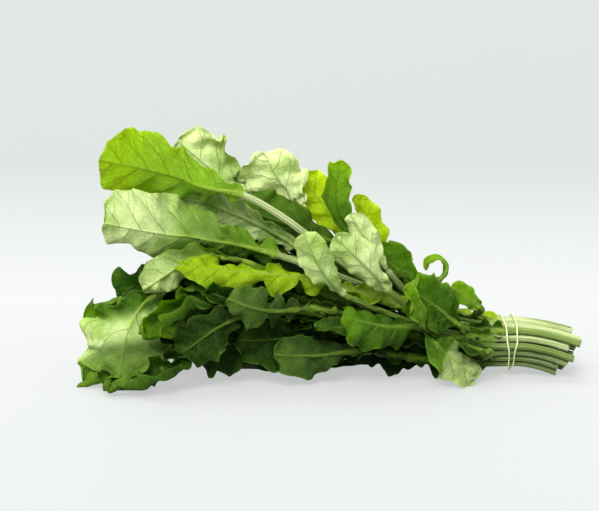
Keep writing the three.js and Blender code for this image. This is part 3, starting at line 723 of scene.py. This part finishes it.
# The two faces: a thin sheet with a rounded rib, more of it below, which turns into the round stem
def makeFaces(plan):
    form, s = leafForm, plan.s
    surface, normal = shapeBlade(plan)
    ribs = plan.ribs[:, None]
    plan.fromRib = np.abs(plan.d) / (ribs * form["ribReach"])
    swell = np.clip(1 - plan.fromRib * plan.fromRib, 0, 1) ** 1.6
    thin = form["sheetThickness"] / 2 * (1 - 0.75 * (np.abs(plan.j) == plan.cells))[None, :]
    across = unit(plan.columns[:, 4] - plan.columns[:, 0])
    upWay = unit(plan.faceWay - (plan.faceWay * across).sum(-1, keepdims=True) * across)
    angle = plan.angle = plan.j / plan.cells * math.pi / 2
    ridges = 1 + 0.035 * np.cos(angle * 8)
    groove = 0.10 * np.exp(-((angle / 0.35) ** 2))
    swelling = 1 + 0.04 * np.sin(s / 17 + 6 * plan.random.random()) + 0.05 * np.exp(-s / 6)
    stemRadius = (np.minimum(plan.ribs, form["stemRadius"]) * swelling * 0.97)[:, None, None]
    centre = plan.columns[:, 2][:, None]
    opening = ease(0.9, 2.6, plan.sides.max(1) / plan.ribs)
    plan.opening = (opening * np.maximum(ease(-0.001, 0.05, plan.b), plan.wings))[:, None]
    faces = []
    for side, ridge, ribHeight, lowest in ((1, ridges - groove, 0.42, 0.30), (-1, ridges, 1.10, 0.02)):
        blade = surface + side * normal * (thin + swell * ribs * ribHeight)[..., None]
        aside = across[:, None] * (np.sin(angle) * ridge)[None, :, None]
        rise = upWay[:, None] * (np.cos(angle) * ridge)[None, :, None]
        stem = centre + stemRadius * (aside + side * rise)
        face = stem + (blade - stem) * plan.opening[..., None]
        face[..., 2] = np.maximum(face[..., 2], lowest)
        faces.append(face)
    upper, under = faces
    under[:, [0, -1]] = upper[:, [0, -1]]
    slant = np.random.default_rng(5200 + plan.number).uniform(-0.35, 0.35, 2)  # of the knife at the cut end
    for face in faces:
        face[0, :, 0] += ((face[0, :, 1:] - plan.columns[0, 2, 1:]) * slant).sum(-1)
    return upper, under


# Values of the flat grid wrapped round the leaf: over the upper face and back below
def wrapped(values, below=None):
    below = values if below is None else below
    return np.concatenate([values, below[:, -2::-1]], axis=1)


# How green and how chalky each spot is, for the material to read, with painted sheen and painted shade on
# some leaves
def shadesOf(plan):
    colours, number, b = leafColours, plan.number, plan.b[:, None]
    group = next(s for s in leafShades.values() if number in s["leaves"])
    shade = group["shade"] + colours["unevenShade"] * (plan.random.random() - 0.5)
    shade = np.clip(shade + colours["towardsTip"] * (b - 0.6), 0, 1)
    chalk = group["chalk"] * colours["paler"].get(number, 1)
    fromBase = b + colours["slantedPale"].get(number, 0) * plan.w
    for key, greenest in (("greenTips", 0.85), ("greenBases", 1)):
        if number in colours[key]:
            begins, ends, darker = colours[key][number]
            towardsTip = ease(begins, ends, fromBase)
            green = towardsTip if key == "greenTips" else 1 - towardsTip
            chalk = chalk * (1 - greenest * green)
            shade = np.clip(shade - darker * green, 0, 1)
    if number in colours["chalkTips"]:
        begins = colours["chalkTips"][number]
        fromThere = ease(begins - 0.04, begins + 0.06, b)
        chalk = np.maximum(chalk, 1.5 * fromThere)
        shade = np.clip(shade + 0.25 * fromThere, 0, 1)
    chalk = chalk * ease(0.0, 0.08, b)
    # painted shade over one half of the blade, which also loses its chalky sheen
    if number in colours["greenHalves"]:
        green = ease(0.02, 0.25, plan.w * colours["greenHalves"][number])
        green = green * (1 - ease(0.5, 0.9, b))
        chalk = chalk * (1 - green)
        shade = np.clip(shade - 0.20 * green, 0, 1)
    return shade, chalk


def markPoints(piece, key, values):
    attribute = piece.data.attributes.new(key, "FLOAT", "POINT")
    attribute.data.foreach_set("value", values.reshape(-1).astype(np.float32))


# The attributes and the two maps that the material reads
def markLeaf(leaf, plan):
    colours, number, s, b = leafColours, plan.number, plan.s, plan.b[:, None]
    one = np.ones_like(plan.d)
    shade, chalk = shadesOf(plan)
    # painted light and shade: stems pale near the cut end and darker green deeper in the bunch
    paleStem = 1 - 0.9 * ease(34, 70, s)
    if number in colours["paleStems"]:
        paleStem = np.maximum(paleStem, ease(plan.start - 100, plan.start - 50, s))
    darkFrom = colours["grooved"].get(number, 2)
    ribSign = 1 - 1.75 * ease(darkFrom - 0.08, darkFrom + 0.15, b)  # below 0 the rib is painted dark, as shade in a groove
    rib = ribSign * np.clip(1.25 * (1 - (plan.fromRib / 0.85) ** 2), 0, 1) * (0.35 + 0.65 * (1 - b))
    # edge is where the margins get their painted rim light
    values = {"blade": ease(0.35, 1.0, plan.opening), "under": 0, "rib": rib, "shade": shade,
              "chalk": chalk, "paleStem": paleStem[:, None], "lime": colours["limy"].get(number, 0),
              "edge": ease(0.985, 1.0, np.abs(plan.w))}
    values = {key: wrapped(held * one) for key, held in values.items()}
    values["under"] = wrapped(0 * one, one)
    values["under"][:, [0, -1, 2 * plan.cells]] = 0.5
    for key, held in values.items():
        markPoints(leaf, key, held)

    corners = np.empty(len(leaf.data.loops), dtype=np.int32)
    leaf.data.loops.foreach_get("vertex_index", corners)
    turned = np.append(plan.angle, math.pi - plan.angle[-2::-1]) * leafForm["stemRadius"]
    across = wrapped(plan.d)
    across = across + (1 - plan.opening) * (turned[None, :] - across)
    maps = {"veins": (wrapped(plan.phase), wrapped(plan.w)),
            "sheet": (wrapped(s[:, None] * one) * mm + number, across * mm)}
    leaf.data.uv_layers[0].name = "veins"
    leaf.data.uv_layers.new(name="sheet")
    for key, (u, v) in maps.items():
        pairs = np.stack([u, v], axis=-1).reshape(-1, 2)[corners]
        leaf.data.uv_layers[key].data.foreach_set("uv", pairs.reshape(-1).astype(np.float32))
    leaf.data.attributes.new("rim", "FLOAT", "POINT")


# Closes the open edges near the first vertex, which is at the cut end, with one face
def closeEnd(leaf, within):
    bpy.ops.mesh.select_all(action="DESELECT")
    mesh = bmesh.from_edit_mesh(leaf.data)
    mesh.verts.ensure_lookup_table()
    for e in mesh.edges:
        if e.is_boundary and (e.verts[0].co - mesh.verts[0].co).length < within:
            e.select = True
    bmesh.update_edit_mesh(leaf.data)
    bpy.ops.mesh.edge_face_add()


# Joins the two long edges and closes both ends, the cut one with a slightly hollow face
def closeLeaf(leaf):
    editMerged(leaf, 2e-7)
    closeEnd(leaf, within=8 * mm)
    bpy.ops.mesh.inset(thickness=0.35 * mm, depth=-0.12 * mm)
    bpy.ops.mesh.poke(offset=-0.25 * mm)
    mesh = bmesh.from_edit_mesh(leaf.data)
    rim = mesh.verts.layers.float["rim"]
    for f in [f for f in mesh.faces if f.select]:
        f.material_index = 1
        for v in f.verts:
            v[rim] = 1.0 if len(v.link_edges) < 12 else 0.0  # the middle one has many edges
    closeEnd(leaf, within=math.inf)
    bpy.ops.mesh.poke()
    bpy.ops.mesh.select_all(action="SELECT")
    bpy.ops.mesh.normals_make_consistent(inside=False)
    bpy.ops.object.mode_set(mode="OBJECT")
    bpy.ops.object.shade_smooth_by_angle(angle=math.radians(55))


# Wraps a flat grid round the leaf's two faces, so that its long edges meet along one margin
def growLeaf(name, node, number):
    plan = planLeaf(node, number)
    layCells(plan)
    upper, under = makeFaces(plan)
    bpy.ops.mesh.primitive_grid_add(x_subdivisions=4 * plan.cells, y_subdivisions=len(plan.s) - 1, size=0.1)
    leaf = bpy.context.object
    leaf.name = leaf.data.name = name
    leaf.data.vertices.foreach_set("co", (wrapped(upper, under) * mm).reshape(-1))
    markLeaf(leaf, plan)
    leaf.data.materials.append(leafMaterialMade)
    leaf.data.materials.append(cutMaterialMade)
    closeLeaf(leaf)
    return leaf


leaves = []
for nodeName in sorted(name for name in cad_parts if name.startswith("leaf")):
    leaf = growLeaf("arugula" + nodeName.replace("_", "").capitalize(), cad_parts[nodeName],
                    int(nodeName.split("_")[1]))
    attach(leaf, "root")
    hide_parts(nodeName)
    leaf.data.calc_loop_triangles()
    leaves.append(leaf)
triangles = [len(leaf.data.loop_triangles) for leaf in leaves]
print("leaves grown:", len(leaves), "triangles:", sum(triangles), "most:", max(triangles))


# Painted shade: how deep in the bunch each spot lies, read off a coarse grid, and where leaves nearly touch,
# felt for a little way off each surface, darken the leaves' colour there
depths = {
    "cell": 4.0,
    "margin": 6,  # cells round the bunch
    "steps": (2, 14),  # cells to look, from where to where
    "density": 0.52,
    "most": 0.95,
    "lightLeaves": {"groups": ("lit", "yellow", "pale"), "share": 0.55},
    "palest": 0.4,
    "fineCell": 1.6,
    "touching": (1.0, 1.9, 2.8),
    "touchNudge": 0.6,
    "touchMost": 0.92,
}


def readRows(held, key):
    rows = np.empty(len(held) * 3)
    held.foreach_get(key, rows)
    return rows.reshape(-1, 3)


# The near corner of a grid round all places, and how many cells it has each way
def gridRound(places, cell):
    low = np.min([p.min(0) for p in places], axis=0) - depths["margin"] * cell
    high = np.max([p.max(0) for p in places], axis=0) + depths["margin"] * cell
    return low, np.ceil((high - low) / cell).astype(int) + 1


def cellsOf(places, low, cell):
    return tuple(((places - low) / cell).astype(int).T)


# How many leaves pass through each cell, softened
def countLeaves(places, low, size):
    filled = np.zeros(size)
    for p in places:
        here = np.zeros(size, dtype=bool)
        here[cellsOf(p, low, depths["cell"] * mm)] = True
        filled += here
    for axis in range(3):
        filled = (np.roll(filled, 1, axis) + 2 * filled + np.roll(filled, -1, axis)) / 4
    return filled


# How much of the light from above and the sides the leaves keep off each cell
def depthOf(filled):
    far = depths["steps"][1]
    padded = np.pad(filled, far)
    lit = total = 0
    for way in [np.array(way) - 1 for way in np.ndindex(3, 3, 3) if way[2] >= 1 and way != (1, 1, 1)]:
        weight = 0.5 + way[2] / norm(way)
        between = 0
        for step in range(*depths["steps"]):
            there = tuple(slice(g, g + n) for g, n in zip(way * step + far, filled.shape))
            between = between + padded[there] * norm(way)
        lit = lit + weight * np.exp(-depths["density"] * between)
        total += weight
    return (1 - lit / total) * depths["most"]


# The painted shade of each leaf from the depth of the cells round its spots, less on lit, yellow and pale
# leaves
def measureDepth(leaves, places):
    cell = depths["cell"] * mm
    low, size = gridRound(places, cell)
    depth = depthOf(countLeaves(places, low, size))
    light = depths["lightLeaves"]
    helds = []
    for leaf, p in zip(leaves, places):
        number = int(leaf.name[-2:])
        share = light["share"] if any(number in leafShades[key]["leaves"] for key in light["groups"]) else 1
        share *= depths["palest"] if leafColours["paler"].get(number, 1) > 1 else 1
        spot = (p - low) / cell - 0.5
        corner = np.floor(spot).astype(int)
        part = spot - corner
        held = np.zeros(len(p))
        for offset in np.ndindex(2, 2, 2):
            near = np.prod(np.where(np.array(offset) == 1, part, 1 - part), axis=1)
            held += near * depth[tuple((corner + offset).T)] * share
        helds.append(held)
    print("depth measured, deepest:", round(float(depth.max()), 2))
    return helds


# Paints shade where leaves nearly touch, keeping the darker of that and the shade painted by depth
def markPaintedShade(leaves, places, helds):
    cell = depths["fineCell"] * mm
    low, size = gridRound(places, cell)
    owner = np.full(size, -1, dtype=np.int16)
    shared = np.zeros(size, dtype=bool)
    for k, p in enumerate(places):
        at = cellsOf(p, low, cell)
        others = (owner[at] >= 0) & (owner[at] != k)
        shared[tuple(axis[others] for axis in at)] = True
        owner[at] = k
    nudges = np.concatenate([np.zeros((1, 3)), np.eye(3), -np.eye(3)]) * depths["touchNudge"] * mm
    for k, (leaf, p, held) in enumerate(zip(leaves, places, helds)):
        away = readRows(leaf.data.vertex_normals, "vector")
        touched = np.zeros(len(p))
        for reach in depths["touching"]:
            for nudge in nudges:
                at = cellsOf(p + away * reach * mm + nudge, low, cell)
                touched += ((owner[at] >= 0) & (owner[at] != k)) | shared[at]
        touched /= len(nudges) * len(depths["touching"])
        touched = ease(0.05, 0.60, touched) * depths["touchMost"]
        markPoints(leaf, "buried", np.maximum(held, touched))
    print("buried and touching places marked")


leafPlaces = [readRows(leaf.data.vertices, "co") for leaf in leaves]
markPaintedShade(leaves, leafPlaces, measureDepth(leaves, leafPlaces))


# The elastic band: the frame's wire, merged and rounded
bandLook = {
    "colour": (0.42, 0.47, 0.20),
    "worn": (0.56, 0.59, 0.33),
    "wearScale": 700.0,
    "roughness": 0.55,
    "bumpHeight": 0.0001,
    "levels": 2,
}


def bandMaterial():
    look = bandLook
    material, tree = shaderTree("paleElastic")
    dust = noiseOf(objectPlace(tree), look["wearScale"], 4.0, 0.6)
    colour = mix(remap(dust, 0.35, 0.7), look["colour"], look["worn"])
    finishWith(addNode(tree, "BsdfPrincipled", {
        "Base Color": colour, "Roughness": look["roughness"], "Subsurface Weight": 0.15,
        "Subsurface Scale": 0.001, "Normal": bumpOf(dust, 0.5, look["bumpHeight"])}))
    return material


def stretchBand():
    band = bpy.data.objects.new("elasticTie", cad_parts["elastic_band"].data.copy())
    scene.collection.objects.link(band)
    editMerged(band, 1e-6)
    flat = math.radians(60)
    bpy.ops.mesh.tris_convert_to_quads(face_threshold=flat, shape_threshold=flat)
    bpy.ops.mesh.normals_make_consistent(inside=False)
    bpy.ops.object.mode_set(mode="OBJECT")
    bpy.ops.object.modifier_add(type="SUBSURF")
    rounding = band.modifiers[-1]
    rounding.levels = rounding.render_levels = bandLook["levels"]
    bpy.ops.object.modifier_apply(modifier=rounding.name)
    bpy.ops.object.shade_smooth()
    band.data.materials.clear()
    band.data.materials.append(bandMaterial())
    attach(band, "root")
    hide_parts("elastic_band")


stretchBand()
print("band stretched")

# The studio: a wide pale floor, and two soft lights from above, one from the front left and one from behind
studio = {
    "floorSize": 24.0,
    "floorReach": (-0.4, 0.8),  # along the view, where its tones begin and end
    # painted falloff of light: the floor lightest just behind the bunch, darker far off and a little darker
    # in front
    "floorTones": [(0, (0.243, 0.252, 0.246)), (0.36, (0.256, 0.261, 0.258)), (0.50, (0.264, 0.269, 0.267)),
                   (1, (0.203, 0.214, 0.206))],
    "floorGlow": 1.95,  # so that its shadows stay pale
    "floorMatt": 0.57,  # how much of its tone answers to the lamps
    "surround": (0.90, 0.94, 0.92),
    "surroundGlow": 0.75,
    "key": {"comesFrom": (-0.22, -0.66, 0.72), "softness": 34.0, "strength": 5.0},  # softness in degrees
    "back": {"comesFrom": (-0.25, 0.30, 0.92), "softness": 50.0, "strength": 2.6},
    "target": (-0.0194, 0.0085, 0.0726),
    "distance": 1.1,
    "elevation": 12.0,  # degrees
    "viewWidth": 0.365,  # at the target
    "sensor": 36.0,
}


def layFloor():
    bpy.ops.mesh.primitive_plane_add(size=studio["floorSize"], location=(0, 0, 0))
    floor = bpy.context.object
    floor.name = "studioFloor"
    material, tree = shaderTree("paleFloor")
    away = addNode(tree, "SeparateXYZ", {0: objectPlace(tree)}).outputs["Y"]
    # tones painted as the studio light's falloff along the view
    colour = ramp(remap(away, *studio["floorReach"], smooth=False), studio["floorTones"])
    lamplit = mix(1.0, colour, [studio["floorMatt"]] * 3, "MULTIPLY")
    finishWith(addNode(tree, "BsdfPrincipled", {
        "Base Color": lamplit, "Roughness": 0.6, "Specular IOR Level": 0.2,
        "Emission Color": colour, "Emission Strength": studio["floorGlow"]}))
    floor.data.materials.append(material)


def softSun(name, comesFrom, softness, strength):
    bpy.ops.object.light_add(type="SUN", location=Vector(comesFrom) * 2)
    light = bpy.context.object
    light.name = name
    light.data.angle = math.radians(softness)
    light.data.energy = strength
    light.rotation_euler = (-Vector(comesFrom)).to_track_quat("-Z", "Y").to_euler()


def lightStudio():
    world = scene.world = scene.world or bpy.data.worlds.new("studioAir")
    world.use_nodes = True
    tree = world.node_tree
    tree.nodes.clear()
    air = addNode(tree, "Background", {"Color": (*studio["surround"], 1), "Strength": studio["surroundGlow"]})
    addNode(tree, "OutputWorld", {"Surface": air.outputs[0]})
    softSun("keyLight", **studio["key"])
    softSun("backLight", **studio["back"])


def placeCamera():
    rise, sensor, distance = math.radians(studio["elevation"]), studio["sensor"], studio["distance"]
    back = Vector((0, -math.cos(rise), math.sin(rise)))
    bpy.ops.object.camera_add(location=Vector(studio["target"]) + back * distance)
    camera = bpy.context.object
    camera.rotation_euler = (-back).to_track_quat("-Z", "Y").to_euler()
    camera.data.sensor_width = sensor
    camera.data.lens = sensor * distance / studio["viewWidth"]
    scene.camera = camera


layFloor()
lightStudio()
placeCamera()
scene.view_settings.view_transform = "Standard"
print("studio set")
